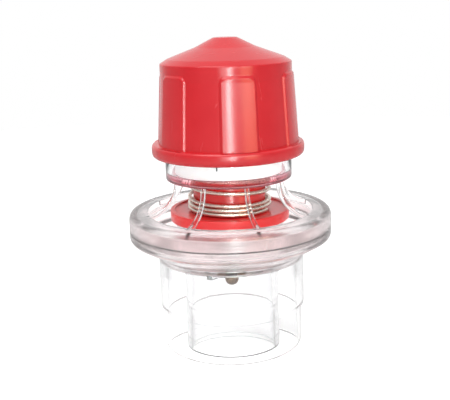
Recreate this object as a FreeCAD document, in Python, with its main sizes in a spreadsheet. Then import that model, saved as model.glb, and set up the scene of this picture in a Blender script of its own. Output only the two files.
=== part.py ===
import FreeCAD, Part
import math
import os

import Sketcher

# Positive end-expiratory pressure valve: a red screw cap sets the force of a spring, which
# holds a red valve plate down on a seat in a clear two-part housing.
# Millimetres and degrees. +Z is up, the origin is the centre of the housing's lower end.

# Sizes: name, value, what it measures
SIZES = [
    ("tube_r", 11.0, "inner tube, radius of the 22 mm male connector"),
    ("tube_wall", 1.5, "inner tube wall"),
    ("tube_step", 0.3, "inner tube, how far it stands out where the chamber floor holds it"),
    ("tube_lead", 0.5, "height of the slope up to that step"),
    ("socket_r", 15.25, "outer socket, radius at the mouth of the 30 mm female connector"),
    ("cone_slope", 0.0125, "fall of the socket's radius for each mm of depth, a 1 in 40 cone"),
    ("socket_depth", 21.5, "depth of the socket"),
    ("skirt_wall", 1.55, "skirt wall at the mouth"),
    ("skirt_step", 0.7, "skirt, how far it stands out above its step"),
    ("step_z", 9.8, "height of the skirt's step"),
    ("skirt_length", 23.0, "skirt, from the mouth to the cone below the flange"),
    ("mouth_round", 0.5, "rounding of the mouth"),
    ("flange_r", 24.1, "flange radius"),
    ("flange_rise", 4.0, "rise of the cone from the skirt out to the flange's edge"),
    ("floor_rise", 3.6, "floor of the valve chamber above the foot of the cone"),
    ("lower_rim", 6.0, "joint of the two housings above the foot of the cone"),
    ("flange_wall", 2.1, "flange outside the spigot that the upper housing fits over"),
    ("spigot_wall", 2.4, "spigot wall, down to the valve chamber"),
    ("spigot_height", 2.4, "height of the spigot"),
    ("seat_height", 3.7, "valve seat above the chamber floor"),
    ("seat_lip", 0.6, "width of the seat's lip"),
    ("weld_gap", 0.05, "gap in a welded joint"),
    ("land_reach", 1.2, "land that holds the seat tube on the chamber floor, how far it stands out"),
    ("land_thick", 0.8, "thickness of the land"),
    ("arm_count", 3, "arms of the spider in the inner tube"),
    ("arm_width", 1.2, "thickness of an arm"),
    ("arm_height", 2.8, "height of an arm"),
    ("arm_root", 0.6, "how far an arm runs into the tube's wall"),
    ("hub_drop", 7.6, "hub's lower end below the chamber floor"),
    ("hub_height", 4.0, "hub length"),
    ("hub_wall", 1.1, "hub wall"),
    ("bush_wall", 0.9, "bush wall"),
    ("bush_collar", 0.6, "thickness of the bush's collar"),
    ("upper_rim", 4.3, "flange wall of the upper housing"),
    ("edge_round", 1.5, "rounding of the flange's upper edge"),
    ("rib_count", 8, "ribs of the open cage"),
    ("rib_width", 0.9, "thickness of a rib"),
    ("rib_depth", 1.2, "radial depth of a rib"),
    ("rib_foot", 1.4, "how far a rib reaches over the flange"),
    ("rib_turn", 17.8, "angle of the first rib"),
    ("cage_height", 7.7, "height of the open cage"),
    ("rib_inset", 1.6, "how far a rib's upper end stands inside the collar"),
    ("collar_gap", 0.9, "gap between neck and collar for the cap's threaded skirt"),
    ("collar_wall", 1.2, "collar wall"),
    ("collar_floor", 1.6, "ring that joins collar, neck and ribs"),
    ("collar_height", 7.2, "collar height"),
    ("neck_room", 1.25, "room round the spring in the neck"),
    ("neck_wall", 1.6, "neck wall"),
    ("neck_height", 19.0, "neck height"),
    ("run_gap", 0.1, "running fit, on the radius"),
    ("thread_depth", 0.6, "depth of the screw thread"),
    ("cap_setting", 5.4, "height of the cap's rim above the cage, as set"),
    ("screw_down", 5.4, "how far the cap still screws down"),
    ("end_gap", 0.5, "room left where a stroke ends"),
    ("cap_wall", 1.2, "cap body wall above the rim"),
    ("rim_reach", 1.7, "how far the cap's rim stands out"),
    ("rim_height", 3.1, "cap rim height"),
    ("rim_round", 1.0, "rounding of the cap's rim"),
    ("cap_draft", 1.0, "how much the cap body narrows up to the shoulder"),
    ("shoulder_band", 3.5, "plain band between the grips and the crown"),
    ("cap_roof", 1.9, "height of solid roof above the inside"),
    ("crown_rise", 5.6, "rise of the conical crown"),
    ("crown_flat", 2.7, "radius of the flat on the crown"),
    ("crown_round", 0.4, "rounding of the shoulder's edge"),
    ("grip_count", 6, "raised grips"),
    ("grip_angle", 30.0, "width of a grip"),
    ("grip_proud", 0.5, "how far a grip stands out"),
    ("grip_turn", 39.0, "angle of the first grip's middle"),
    ("grip_round", 0.35, "rounding of a grip's edges"),
    ("boss_wall", 1.7, "wall of the boss in the cap"),
    ("pivot_r", 2.3, "pivot on the spring follower"),
    ("pivot_height", 2.4, "pivot height"),
    ("pad_height", 2.0, "follower's pad above its web"),
    ("follower_web", 1.6, "follower web"),
    ("follower_skirt", 4.4, "follower's sleeve, height"),
    ("follower_wall", 1.2, "follower's sleeve, wall"),
    ("spigot_drop", 1.8, "follower's spigot inside the spring"),
    ("spring_r", 9.5, "spring, mean radius"),
    ("wire_d", 0.9, "spring wire diameter"),
    ("spring_length", 24.0, "spring length as set"),
    ("foot_turns", 2.2, "closed turns at the foot"),
    ("top_turns", 1.1, "closed turns at the top"),
    ("live_turns", 6.5, "working turns"),
    ("foot_end", -98.0, "angle at which the wire leaves the closed turns of the foot"),
    ("closed_gap", 0.12, "gap between closed turns"),
    ("coil_gap", 0.45, "gap from the spring to the guide tube inside it"),
    ("spring_gap", 0.05, "gap from the wire to the faces it presses on"),
    ("plate_reach", 1.0, "valve plate past the seal"),
    ("plate_thick", 2.0, "valve plate thickness"),
    ("plate_rim", 0.4, "raised rim of the valve plate"),
    ("plate_rim_wall", 1.1, "width of the raised rim"),
    ("guide_wall", 1.4, "wall of the guide tube"),
    ("guide_height", 12.0, "guide tube above the plate"),
    ("boss_height", 3.4, "boss for the stem, above the plate"),
    ("boss_r", 3.6, "boss for the stem, radius"),
    ("seal_reach", 2.2, "seal past the tube that carries the seat"),
    ("seal_thick", 0.8, "seal thickness"),
    ("stem_r", 1.6, "stem radius"),
    ("stem_gap", 0.05, "stem in the plate and the seal, gap on the radius"),
    ("stem_down", 13.7, "stem, from its flange to its rounded tip"),
    ("stem_flange_r", 4.2, "stem flange radius"),
    ("stem_flange", 0.8, "stem flange thickness"),
    ("stem_end", 1.4, "stem left above the push nut"),
    ("nut_r", 3.4, "push nut radius"),
    ("nut_thick", 0.5, "push nut thickness"),
    ("nut_cone", 0.5, "rise of the push nut's tongues"),
    ("nut_slits", 4, "slits of the push nut"),
    ("nut_slit", 0.6, "width of a slit"),
]

doc = FreeCAD.newDocument("peep_valve")
sheet = doc.addObject("Spreadsheet::Sheet", "Dim")
for row, (alias, number, meaning) in enumerate(SIZES, 1):
    sheet.set(f"A{row}", meaning)
    sheet.set(f"B{row}", str(number))
    sheet.setAlias(f"B{row}", alias)
doc.recompute()


def size(expression):
    """The number that an expression of sheet cells gives."""
    return float(sheet.evalExpression(expression))


# Heights above the origin, each built from the sizes below it
chamber_floor = "Dim.skirt_length + Dim.floor_rise"
split_z = "Dim.skirt_length + Dim.lower_rim"
hub_z = f"{chamber_floor} - Dim.hub_drop"
hub_top = f"{hub_z} + Dim.hub_height"
seat_z = f"{chamber_floor} + Dim.seat_height"
flange_top = f"{split_z} + Dim.upper_rim"
cage_top = f"{flange_top} + Dim.cage_height"
cap_z = f"{cage_top} + Dim.cap_setting"
plate_z = f"{seat_z} + Dim.seal_thick"
plate_top = f"{plate_z} + Dim.plate_thick"
follower_z = f"{plate_top} + Dim.spring_length"
nut_z = f"{plate_top} + Dim.boss_height"

# Radii that more than one piece shares, each built from the walls and gaps inside it
tube_bore = "Dim.tube_r - Dim.tube_wall"
skirt_r = "Dim.socket_r + Dim.skirt_wall"
shank_r = f"{skirt_r} + Dim.skirt_step"
held_r = "Dim.tube_r + Dim.tube_step"
spigot_r = "Dim.flange_r - Dim.flange_wall"
chamber_r = f"{spigot_r} - Dim.spigot_wall"
neck_bore = "Dim.spring_r + Dim.wire_d / 2 + Dim.neck_room"
neck_r = f"{neck_bore} + Dim.neck_wall"
collar_in = f"{neck_r} + Dim.collar_gap"
collar_r = f"{collar_in} + Dim.collar_wall"
seal_r = "Dim.tube_r + Dim.seal_reach"
plate_r = f"{seal_r} + Dim.plate_reach"
bush_bore = "Dim.stem_r + Dim.run_gap"
bush_r = f"{bush_bore} + Dim.bush_wall"
hub_r = f"{bush_r} + Dim.hub_wall"
guide_r = "Dim.spring_r - Dim.wire_d / 2 - Dim.coil_gap"
follower_r = f"{neck_bore} - Dim.run_gap"


def new_body(label, height, turn="0"):
    """An empty body that stands at a height and is turned about the valve's axis."""
    body = doc.addObject("PartDesign::Body", label)
    body.Label = label
    body.setExpression("Placement.Base.z", height)
    body.setExpression("Placement.Rotation.Angle", turn)
    return body


def origin_part(body, role):
    """The body's own origin plane or axis with that role."""
    for item in body.Origin.OriginFeatures:
        if item.Role == role:
            return (item, [""])
    raise ValueError(role)


def new_sketch(body, name, role):
    sketch = body.newObject("Sketcher::SketchObject", name)
    sketch.AttachmentSupport = origin_part(body, role)
    sketch.MapMode = "FlatFace"
    return sketch


def place_point(sketch, geometry, position, across, up):
    """Tie one point of a sketch to two expressions, measured from the sketch's origin."""
    for kind, axis, expression in (("DistanceX", -2, across), ("DistanceY", -1, up)):
        if abs(size(expression)) < 1e-9:
            sketch.addConstraint(Sketcher.Constraint("PointOnObject", geometry, position, axis))
        else:
            number = sketch.addConstraint(
                Sketcher.Constraint(kind, -1, 1, geometry, position, size(expression))
            )
            sketch.setExpression(f"Constraints[{number}]", expression)


def outline(body, name, corners, role="XZ_Plane"):
    """A closed outline of straight edges through corners given as pairs of expressions."""
    sketch = new_sketch(body, name, role)
    points = [FreeCAD.Vector(size(across), size(up), 0) for across, up in corners]
    for start, end in zip(points, points[1:] + points[:1]):
        sketch.addGeometry(Part.LineSegment(start, end), False)
    for line in range(len(points)):
        following = (line + 1) % len(points)
        sketch.addConstraint(Sketcher.Constraint("Coincident", line, 2, following, 1))
    for line, (across, up) in enumerate(corners):
        place_point(sketch, line, 1, across, up)
    return sketch


def turned(body, name, corners, angle="360", both_ways=False):
    """A solid of revolution of an outline in the body's XZ plane."""
    profile = outline(body, name + "_profile", corners)
    solid = body.newObject("PartDesign::Revolution", name)
    solid.Profile = profile
    solid.ReferenceAxis = origin_part(body, "Z_Axis")
    solid.Midplane = both_ways
    solid.setExpression("Angle", angle)
    doc.recompute()
    return solid


def ring_pattern(body, name, feature, count):
    """Copies of a feature, evenly spaced about the valve's axis."""
    pattern = body.newObject("PartDesign::PolarPattern", name)
    pattern.Originals = [feature]
    pattern.Axis = origin_part(body, "Z_Axis")
    pattern.Angle = 360
    pattern.setExpression("Occurrences", count)
    body.Tip = pattern
    doc.recompute()
    return pattern


def ring_edges(shape, rings):
    """Names of the circles about the axis with one of the given radii and heights."""
    wanted = [(size(radius), size(height)) for radius, height in rings]
    names = []
    for number, edge in enumerate(shape.Edges, 1):
        if not isinstance(edge.Curve, Part.Circle):
            continue
        circle = edge.Curve
        for radius, height in wanted:
            if abs(circle.Radius - radius) < 1e-3 and abs(circle.Center.z - height) < 1e-3:
                names.append(f"Edge{number}")
    return names


def rounded(body, name, base, edges, radius):
    fillet = body.newObject("PartDesign::Fillet", name)
    fillet.Base = (base, edges)
    fillet.setExpression("Radius", radius)
    body.Tip = fillet
    doc.recompute()
    return fillet


def make_lower_housing():
    """Clear lower half: the outer socket's skirt, the cone and half the flange."""
    body = new_body("lower_housing", "0")
    socket_end = "Dim.socket_r - Dim.cone_slope * Dim.socket_depth"
    hole_r = f"{held_r} + Dim.weld_gap"
    spigot_top = f"{split_z} + Dim.spigot_height"
    cone_top = "Dim.skirt_length + Dim.flange_rise"
    shell = turned(body, "lower_shell", [
        (hole_r, "Dim.socket_depth"),
        (socket_end, "Dim.socket_depth"),
        ("Dim.socket_r", "0"),
        (skirt_r, "0"),
        (skirt_r, "Dim.step_z"),
        (shank_r, "Dim.step_z"),
        (shank_r, "Dim.skirt_length"),
        ("Dim.flange_r", cone_top),
        ("Dim.flange_r", split_z),
        (spigot_r, split_z),
        (spigot_r, spigot_top),
        (chamber_r, spigot_top),
        (chamber_r, chamber_floor),
        (hole_r, chamber_floor),
    ])
    outside = ring_edges(shell.Shape, [
        (skirt_r, "0"),
        (shank_r, "Dim.step_z"),
        ("Dim.flange_r", cone_top),
    ])
    shell = rounded(body, "outer_edges", shell, outside, "Dim.mouth_round")
    inside = ring_edges(shell.Shape, [
        (socket_end, "Dim.socket_depth"),
        (chamber_r, chamber_floor),
        (shank_r, "Dim.skirt_length"),
    ])
    rounded(body, "inner_corners", shell, inside, "Dim.mouth_round")
    return body


def make_seat_tube():
    """Clear inner tube: the 22 mm connector, the valve seat on its top and the stem's spider."""
    body = new_body("seat_tube", "0")
    land_r = "Dim.tube_r + Dim.land_reach"
    land_top = f"{chamber_floor} + Dim.land_thick"
    lip_inner = "Dim.tube_r - (Dim.tube_wall + Dim.seat_lip) / 2"
    lip_outer = "Dim.tube_r - (Dim.tube_wall - Dim.seat_lip) / 2"
    lip_z = f"{seat_z} - (Dim.tube_wall - Dim.seat_lip)"
    turned(body, "tube_shell", [
        (tube_bore, "0"),
        ("Dim.tube_r", "0"),
        ("Dim.tube_r", "Dim.socket_depth - Dim.tube_lead"),
        (held_r, "Dim.socket_depth"),
        (held_r, chamber_floor),
        (land_r, chamber_floor),
        (land_r, land_top),
        ("Dim.tube_r", land_top),
        ("Dim.tube_r", lip_z),
        (lip_outer, seat_z),
        (lip_inner, seat_z),
        (tube_bore, lip_z),
    ])

    arm_sketch = outline(body, "arm_profile", [
        (bush_bore, hub_z),
        (f"{tube_bore} + Dim.arm_root", hub_z),
        (f"{tube_bore} + Dim.arm_root", f"{hub_z} + Dim.arm_height"),
        (bush_bore, hub_top),
    ])
    arm = body.newObject("PartDesign::Pad", "arm")
    arm.Profile = arm_sketch
    arm.Midplane = True
    arm.setExpression("Length", "Dim.arm_width")
    doc.recompute()
    ring_pattern(body, "spider_arms", arm, "Dim.arm_count")
    turned(body, "hub", [
        ("0", hub_z),
        (hub_r, hub_z),
        (hub_r, hub_top),
        ("0", hub_top),
    ])
    bore_sketch = outline(body, "hub_bore_profile", [
        ("0", hub_z),
        (bush_r, hub_z),
        (bush_r, hub_top),
        ("0", hub_top),
    ])
    bore = body.newObject("PartDesign::Groove", "hub_bore")
    bore.Profile = bore_sketch
    bore.ReferenceAxis = origin_part(body, "Z_Axis")
    doc.recompute()
    return body


def make_upper_housing():
    """Clear upper half: flange, eight swept cage ribs, collar and the cap's neck."""
    body = new_body("upper_housing", split_z, "Dim.rib_turn")
    inner = f"{spigot_r} + Dim.weld_gap"
    roof = "Dim.spigot_height + Dim.weld_gap"
    flange = turned(body, "upper_flange", [
        (inner, "0"),
        ("Dim.flange_r", "0"),
        ("Dim.flange_r", "Dim.upper_rim"),
        (chamber_r, "Dim.upper_rim"),
        (chamber_r, roof),
        (inner, roof),
    ])
    edge = ring_edges(flange.Shape, [("Dim.flange_r", "Dim.upper_rim")])
    rounded(body, "flange_edge", flange, edge, "Dim.edge_round")

    # A rib is a flat web between two arcs about one centre outside the cage: it leaves the
    # flange level and climbs to the collar, so its reach and rise give the arc's radius
    collar_z = "Dim.upper_rim + Dim.cage_height"
    reach = f"({chamber_r} + Dim.rib_foot - ({collar_r} - Dim.rib_inset))"
    bend = f"({reach} * {reach} + Dim.cage_height * Dim.cage_height) / (2 * Dim.cage_height)"
    centre = (f"{chamber_r} + Dim.rib_foot", f"Dim.upper_rim + {bend}")
    middle = FreeCAD.Vector(size(centre[0]), size(centre[1]), 0)
    rib_sketch = new_sketch(body, "rib_profile", "XZ_Plane")
    arcs = []
    for arc, radius in enumerate((bend, f"{bend} + Dim.rib_depth")):
        circle = Part.Circle(middle, FreeCAD.Vector(0, 0, 1), size(radius))
        top_angle = math.pi - math.asin((size(collar_z) - middle.y) / size(radius))
        arcs.append(Part.ArcOfCircle(circle, top_angle, 1.5 * math.pi))
        rib_sketch.addGeometry(arcs[arc], False)
        place_point(rib_sketch, arc, 3, *centre)
        number = rib_sketch.addConstraint(Sketcher.Constraint("Radius", arc, size(radius)))
        rib_sketch.setExpression(f"Constraints[{number}]", radius)
        number = rib_sketch.addConstraint(
            Sketcher.Constraint("DistanceY", -1, 1, arc, 1, size(collar_z))
        )
        rib_sketch.setExpression(f"Constraints[{number}]", collar_z)
        rib_sketch.addConstraint(Sketcher.Constraint("Vertical", arc, 2, arc, 3))
    ends = [(arcs[0].StartPoint, arcs[1].StartPoint), (arcs[0].EndPoint, arcs[1].EndPoint)]
    for end, (near, far) in enumerate(ends):
        line = rib_sketch.addGeometry(Part.LineSegment(near, far), False)
        rib_sketch.addConstraint(Sketcher.Constraint("Coincident", line, 1, 0, end + 1))
        rib_sketch.addConstraint(Sketcher.Constraint("Coincident", line, 2, 1, end + 1))
    rib = body.newObject("PartDesign::Pad", "rib")
    rib.Profile = rib_sketch
    rib.Midplane = True
    rib.setExpression("Length", "Dim.rib_width")
    doc.recompute()
    ring_pattern(body, "cage_ribs", rib, "Dim.rib_count")

    collar_top = f"{collar_z} + Dim.collar_height"
    collar_base = f"{collar_z} + Dim.collar_floor"
    neck_top = f"{collar_z} + Dim.neck_height"
    neck = turned(body, "collar_and_neck", [
        (neck_bore, collar_z),
        (collar_r, collar_z),
        (collar_r, collar_top),
        (collar_in, collar_top),
        (collar_in, collar_base),
        (neck_r, collar_base),
        (neck_r, neck_top),
        (neck_bore, neck_top),
    ])
    edges = ring_edges(neck.Shape, [(collar_r, collar_top), (neck_r, neck_top)])
    rounded(body, "neck_edges", neck, edges, "Dim.grip_round")
    return body


def make_guide_bush():
    """Low-friction bush, pressed into the spider's hub, that the stem slides in."""
    body = new_body("guide_bush", hub_z)
    turned(body, "bush", [
        (bush_bore, "0"),
        (bush_r, "0"),
        (bush_r, "Dim.hub_height"),
        (hub_r, "Dim.hub_height"),
        (hub_r, "Dim.hub_height + Dim.bush_collar"),
        (bush_bore, "Dim.hub_height + Dim.bush_collar"),
    ])
    return body


def make_adjusting_cap():
    """Red cap: drafted body with six raised grips, a wide rim and a conical crown."""
    body = new_body("adjusting_cap", cap_z, "Dim.grip_turn")
    bore_r = f"{collar_r} + Dim.run_gap"
    foot_r = f"{bore_r} + Dim.cap_wall"
    rim_r = f"{foot_r} + Dim.rim_reach"
    shoulder_r = f"{foot_r} - Dim.cap_draft"
    thread_r = f"{neck_r} + Dim.thread_depth + Dim.run_gap"
    bore_depth = "Dim.collar_height - Dim.cap_setting + Dim.screw_down + Dim.end_gap"
    ceiling = "Dim.neck_height - Dim.cap_setting + Dim.screw_down + Dim.end_gap"
    lip_z = f"{ceiling} + Dim.cap_roof"
    shoulder_z = f"{lip_z} - Dim.shoulder_band"
    crown_z = f"{lip_z} + Dim.crown_rise"
    crown_slope = f"Dim.crown_rise / ({shoulder_r} - Dim.crown_flat)"
    hole_r = "Dim.pivot_r + Dim.run_gap"
    boss_r = f"{hole_r} + Dim.boss_wall"
    pad_z = f"({follower_z} + Dim.follower_web + Dim.pad_height) - ({cap_z})"
    inner_rise = f"({thread_r} - ({boss_r})) * {crown_slope}"
    shell = turned(body, "cap_shell", [
        (bore_r, "0"),
        (rim_r, "0"),
        (rim_r, "Dim.rim_height"),
        (foot_r, "Dim.rim_height"),
        (shoulder_r, shoulder_z),
        (shoulder_r, lip_z),
        ("Dim.crown_flat", crown_z),
        ("0", crown_z),
        ("0", f"{pad_z} + Dim.pivot_height + Dim.end_gap"),
        (hole_r, f"{pad_z} + Dim.pivot_height + Dim.end_gap"),
        (hole_r, pad_z),
        (boss_r, pad_z),
        (boss_r, f"{ceiling} + {inner_rise}"),
        (thread_r, ceiling),
        (thread_r, bore_depth),
        (bore_r, bore_depth),
    ])
    rim = ring_edges(shell.Shape, [(rim_r, "0"), (rim_r, "Dim.rim_height")])
    shell = rounded(body, "rim_edges", shell, rim, "Dim.rim_round")
    lip = ring_edges(shell.Shape, [(shoulder_r, lip_z), ("Dim.crown_flat", crown_z)])
    shell = rounded(body, "crown_edges", shell, lip, "Dim.crown_round")

    draft = f"Dim.cap_draft / ({shoulder_z} - Dim.rim_height)"
    below = "Dim.rim_round"
    grip = turned(body, "grip", [
        (f"{foot_r} + {draft} * {below} - Dim.grip_proud", f"Dim.rim_height - {below}"),
        (f"{foot_r} + {draft} * {below} + Dim.grip_proud", f"Dim.rim_height - {below}"),
        (f"{shoulder_r} + Dim.grip_proud", shoulder_z),
        (f"{shoulder_r} - Dim.grip_proud", shoulder_z),
    ], "Dim.grip_angle", True)
    grips = ring_pattern(body, "grips", grip, "Dim.grip_count")
    upper, lower = size(shoulder_z), size("Dim.rim_height")
    outside = size(f"{shoulder_r} + Dim.grip_proud / 2")
    edges = []
    for number, edge in enumerate(grips.Shape.Edges, 1):
        middle = edge.CenterOfMass
        radius = min(math.hypot(vertex.X, vertex.Y) for vertex in edge.Vertexes)
        tall = edge.BoundBox.ZLength > (upper - lower) / 2 and lower < middle.z < upper
        top = abs(middle.z - upper) < 1e-3 and edge.BoundBox.ZLength < 1e-3
        if radius > outside and (tall or top) and len(edge.Vertexes) == 2:
            edges.append(f"Edge{number}")
    rounded(body, "grip_edges", grips, edges, "Dim.grip_round")
    return body


def make_spring_follower():
    """Cup between the cap and the spring: it slides in the neck and doesn't turn."""
    body = new_body("spring_follower", follower_z)
    spigot_r = "Dim.spring_r - Dim.wire_d / 2 - Dim.coil_gap / 2"
    web = "Dim.follower_web"
    pad_r = "Dim.pivot_r + Dim.run_gap + Dim.boss_wall"
    pad_z = f"{web} + Dim.pad_height"
    cup = turned(body, "follower_cup", [
        ("0", "0"),
        (f"{spigot_r} - Dim.follower_wall", "0"),
        (f"{spigot_r} - Dim.follower_wall", "-Dim.spigot_drop"),
        (spigot_r, "-Dim.spigot_drop"),
        (spigot_r, "0"),
        (follower_r, "0"),
        (follower_r, "Dim.follower_skirt"),
        (f"{follower_r} - Dim.follower_wall", "Dim.follower_skirt"),
        (f"{follower_r} - Dim.follower_wall", web),
        (pad_r, web),
        (pad_r, pad_z),
        ("Dim.pivot_r", pad_z),
        ("Dim.pivot_r", f"{pad_z} + Dim.pivot_height"),
        ("0", f"{pad_z} + Dim.pivot_height"),
    ])
    edges = ring_edges(cup.Shape, [
        (spigot_r, "-Dim.spigot_drop"),
        ("Dim.pivot_r", f"{pad_z} + Dim.pivot_height"),
    ])
    rounded(body, "follower_edges", cup, edges, "Dim.grip_round")
    return body


def make_valve_plate():
    """Red poppet: a disc with a raised rim, a guide tube for the spring and a stem boss."""
    body = new_body("valve_plate", plate_z)
    top = "Dim.plate_thick"
    bore = "Dim.stem_r + Dim.stem_gap"
    inside = f"{guide_r} - Dim.guide_wall"
    disc = turned(body, "plate_disc", [
        (bore, "0"),
        (plate_r, "0"),
        (plate_r, f"{top} + Dim.plate_rim"),
        (f"{plate_r} - Dim.plate_rim_wall", f"{top} + Dim.plate_rim"),
        (f"{plate_r} - Dim.plate_rim_wall", top),
        (guide_r, top),
        (guide_r, f"{top} + Dim.guide_height"),
        (inside, f"{top} + Dim.guide_height"),
        (inside, top),
        ("Dim.boss_r", top),
        ("Dim.boss_r", f"{top} + Dim.boss_height"),
        (bore, f"{top} + Dim.boss_height"),
    ])
    edges = ring_edges(disc.Shape, [
        (plate_r, f"{top} + Dim.plate_rim"),
        (guide_r, f"{top} + Dim.guide_height"),
    ])
    rounded(body, "plate_edges", disc, edges, "Dim.grip_round")
    return body


def make_valve_seal():
    """Soft disc under the valve plate that closes on the seat."""
    body = new_body("valve_seal", seat_z)
    bore = "Dim.stem_r + Dim.stem_gap"
    turned(body, "seal_disc", [
        (bore, "0"),
        (seal_r, "0"),
        (seal_r, "Dim.seal_thick"),
        (bore, "Dim.seal_thick"),
    ])
    return body


def make_guide_stem():
    """Steel stem: its flange clamps the seal, its rounded lower end runs in the bush."""
    body = new_body("guide_stem", seat_z)
    under = "-Dim.stem_flange"
    tip = f"{under} - Dim.stem_down"
    top = "Dim.seal_thick + Dim.plate_thick + Dim.boss_height + Dim.nut_thick + Dim.stem_end"
    pin = turned(body, "stem_pin", [
        ("0", tip),
        ("Dim.stem_r", tip),
        ("Dim.stem_r", under),
        ("Dim.stem_flange_r", under),
        ("Dim.stem_flange_r", "0"),
        ("Dim.stem_r", "0"),
        ("Dim.stem_r", top),
        ("0", top),
    ])
    lower = ring_edges(pin.Shape, [("Dim.stem_r", tip)])
    pin = rounded(body, "stem_tip", pin, lower, "Dim.stem_r * 0.9")
    upper = ring_edges(pin.Shape, [("Dim.stem_r", top), ("Dim.stem_flange_r", under)])
    rounded(body, "stem_edges", pin, upper, "Dim.stem_flange / 3")
    return body


def make_stem_retainer():
    """Push nut: a thin slit cone that grips the stem above the plate's boss."""
    body = new_body("stem_retainer", nut_z)
    bore = "Dim.stem_r + Dim.stem_gap"
    half = f"({bore} + Dim.nut_r) / 2"
    turned(body, "nut_cone_ring", [
        (bore, "Dim.nut_cone"),
        (half, "0"),
        ("Dim.nut_r", "0"),
        ("Dim.nut_r", "Dim.nut_thick"),
        (half, "Dim.nut_thick"),
        (bore, "Dim.nut_cone + Dim.nut_thick"),
    ])
    slit_sketch = outline(body, "slit_profile", [
        ("0", "-Dim.nut_slit / 2"),
        (half, "-Dim.nut_slit / 2"),
        (half, "Dim.nut_slit / 2"),
        ("0", "Dim.nut_slit / 2"),
    ], "XY_Plane")
    slit = body.newObject("PartDesign::Pocket", "slit")
    slit.Profile = slit_sketch
    slit.Type = "ThroughAll"
    slit.Midplane = True
    doc.recompute()
    ring_pattern(body, "nut_slits", slit, "Dim.nut_slits")
    return body


def helix_run(turns, pitch, start_angle, start_z):
    """One stretch of the left-hand coil, as edges of about a quarter turn."""
    pieces = round(4 * turns)
    part = turns / pieces
    edges = []
    for piece in range(pieces):
        run = Part.makeHelix(pitch, part * pitch, size("Dim.spring_r"), 0, True)
        turn = start_angle - 360 * part * piece
        run.rotate(FreeCAD.Vector(0, 0, 0), FreeCAD.Vector(0, 0, 1), turn)
        run.translate(FreeCAD.Vector(0, 0, start_z + part * pitch * piece))
        edges += run.Edges
    return edges


def make_spring():
    """Round-wire compression spring with closed turns at both ends."""
    wire_d, gap = size("Dim.wire_d"), size("Dim.spring_gap")
    closed = wire_d + size("Dim.closed_gap")
    turns = [size("Dim.foot_turns"), size("Dim.live_turns"), size("Dim.top_turns")]
    span = size("Dim.spring_length") - 2 * gap - wire_d
    live = (span - closed * (turns[0] + turns[2])) / turns[1]
    edges, height = [], wire_d / 2 + gap
    angle = size("Dim.foot_end") + 360 * turns[0]
    for count, pitch in zip(turns, (closed, live, closed)):
        edges += helix_run(count, pitch, angle, height)
        angle -= 360 * count
        height += count * pitch
    path = Part.Wire(Part.__sortEdges__(edges))
    start = edges[0].valueAt(edges[0].FirstParameter)
    along = edges[0].tangentAt(edges[0].FirstParameter)
    section = Part.Wire(Part.makeCircle(wire_d / 2, start, along))
    coil = path.makePipeShell([section], True, True)
    length = sum(edge.Length for edge in edges)
    print("spring volume", round(coil.Volume, 2), "of", round(math.pi * wire_d**2 / 4 * length, 2))
    spring = doc.addObject("Part::Feature", "compression_spring")
    spring.Label = "compression_spring"
    spring.Shape = coil
    spring.Placement = FreeCAD.Placement(
        FreeCAD.Vector(0, 0, size(plate_top)), FreeCAD.Rotation()
    )
    return spring


parts = [
    make_lower_housing(),
    make_seat_tube(),
    make_upper_housing(),
    make_guide_bush(),
    make_adjusting_cap(),
    make_spring_follower(),
    make_valve_plate(),
    make_valve_seal(),
    make_guide_stem(),
    make_stem_retainer(),
    make_spring(),
]
doc.recompute()

for item in doc.Objects:
    if "Invalid" in item.State or "Error" in item.State:
        raise RuntimeError(f"{item.Label} did not build: {item.State}")
os.makedirs("parts", exist_ok=True)
for part in parts:
    if part.Shape.isNull() or not part.Shape.isValid() or len(part.Shape.Solids) != 1:
        raise RuntimeError(f"{part.Label} is not one valid solid")
for part in parts:
    part.Shape.exportStep(f"parts/{part.Label}.step")
    box = part.Shape.BoundBox
    print(f"{part.Label:20} z {box.ZMin:6.2f} to {box.ZMax:6.2f}  volume {part.Shape.Volume:9.1f}")
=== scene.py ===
import math

import bmesh
import bpy
import numpy as np
from mathutils import Matrix, Vector


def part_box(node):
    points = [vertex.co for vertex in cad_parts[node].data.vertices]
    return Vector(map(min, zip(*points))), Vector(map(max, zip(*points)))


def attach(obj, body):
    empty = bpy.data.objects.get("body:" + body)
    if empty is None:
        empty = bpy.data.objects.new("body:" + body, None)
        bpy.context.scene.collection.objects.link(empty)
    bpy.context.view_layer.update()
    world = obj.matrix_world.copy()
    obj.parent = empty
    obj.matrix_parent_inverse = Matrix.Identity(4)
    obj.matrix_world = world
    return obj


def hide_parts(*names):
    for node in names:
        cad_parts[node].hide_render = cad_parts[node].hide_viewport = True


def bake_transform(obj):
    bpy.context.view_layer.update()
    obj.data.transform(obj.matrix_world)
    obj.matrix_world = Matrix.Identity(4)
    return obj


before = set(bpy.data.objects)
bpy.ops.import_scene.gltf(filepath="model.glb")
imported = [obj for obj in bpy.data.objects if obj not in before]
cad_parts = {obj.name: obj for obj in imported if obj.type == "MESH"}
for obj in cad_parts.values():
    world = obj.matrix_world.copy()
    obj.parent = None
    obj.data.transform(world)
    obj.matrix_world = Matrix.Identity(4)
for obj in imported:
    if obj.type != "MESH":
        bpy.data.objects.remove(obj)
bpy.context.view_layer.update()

mm = 0.001  # every size below is in millimetres, turned to metres where a mesh is made


def level(node, top=False):  # lowest or highest z of a CAD node, in mm
    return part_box(node)[1 if top else 0].z / mm


def reach(node):  # largest radius of a round CAD node, in mm
    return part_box(node)[1].y / mm


# Shapes as whole arrays


cornerShape = {"fullness": 0.06, "share": 0.49}  # how full a rounding is, and how much of an edge it may take


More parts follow.
